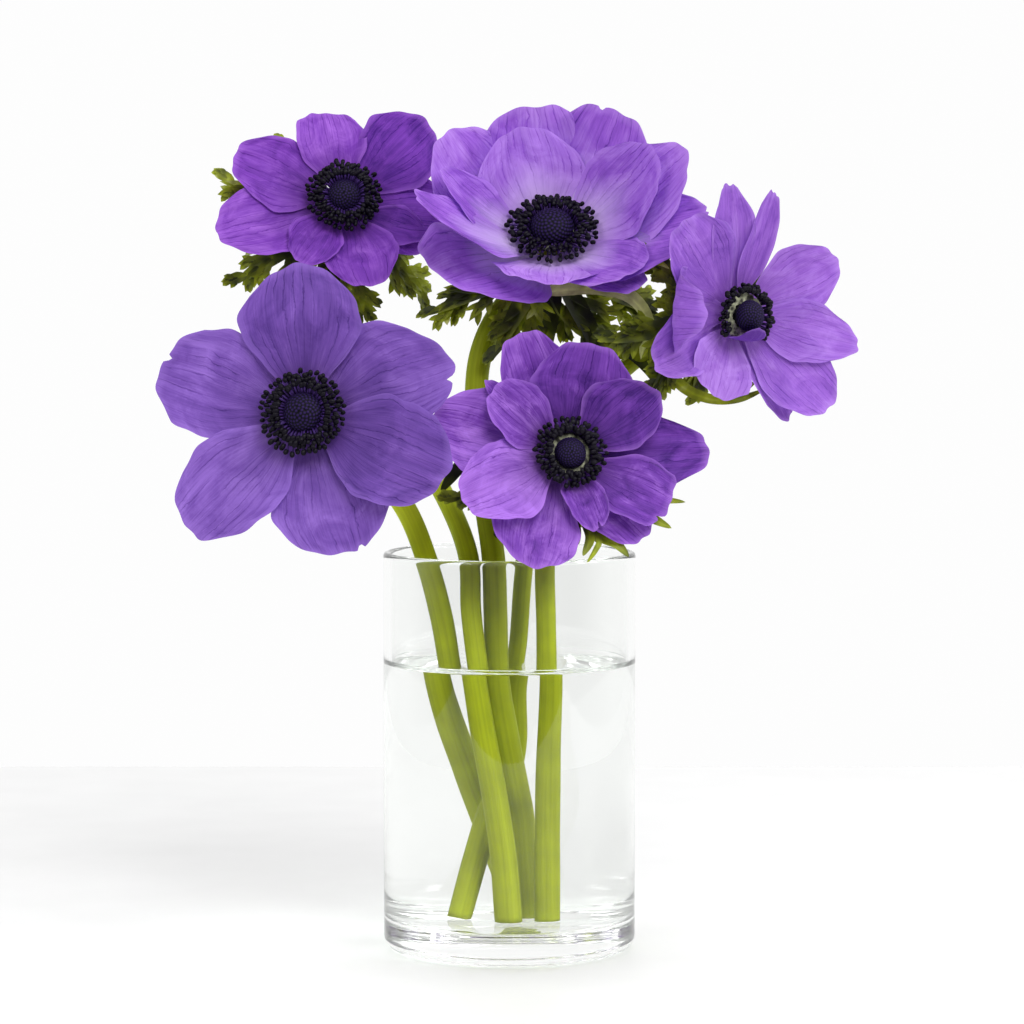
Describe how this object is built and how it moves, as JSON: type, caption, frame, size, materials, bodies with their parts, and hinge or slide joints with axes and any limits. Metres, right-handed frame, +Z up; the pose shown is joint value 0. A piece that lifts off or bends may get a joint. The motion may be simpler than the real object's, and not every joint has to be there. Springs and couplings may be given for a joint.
{
  "type": "vase of anemones",
  "caption": "Purple anemones with dark stamen-ringed centres and divided leaf collars, their green stems standing in water in a clear glass cylinder vase",
  "frame": {"origin": "centre of the vase's foot, on the plane it stands on", "axes": "+Z up the vase, +X to the viewer's right, -Y towards the viewer the flowers face"},
  "size_m": [0.2195, 0.1083, 0.2679],
  "materials": {
    "vase": "clear polished glass, faint grey-green in its thick edges",
    "water": "clear still water",
    "stem": "smooth olive-green plant stem and leaf, soft sheen",
    "petals": "soft satin violet petal with fine lengthwise veins",
    "centre": "near-black violet velvet dome and stamens"
  },
  "bodies": {
    "root": {"vase": "vase", "water": "water", "stem_1": "stem", "petals_1": "petals", "centre_1": "centre", "stem_2": "stem", "petals_2": "petals", "centre_2": "centre", "stem_3": "stem", "petals_3": "petals", "centre_3": "centre", "stem_4": "stem", "petals_4": "petals", "centre_4": "centre", "stem_5": "stem", "petals_5": "petals", "centre_5": "centre"}
  },
  "joints": []
}
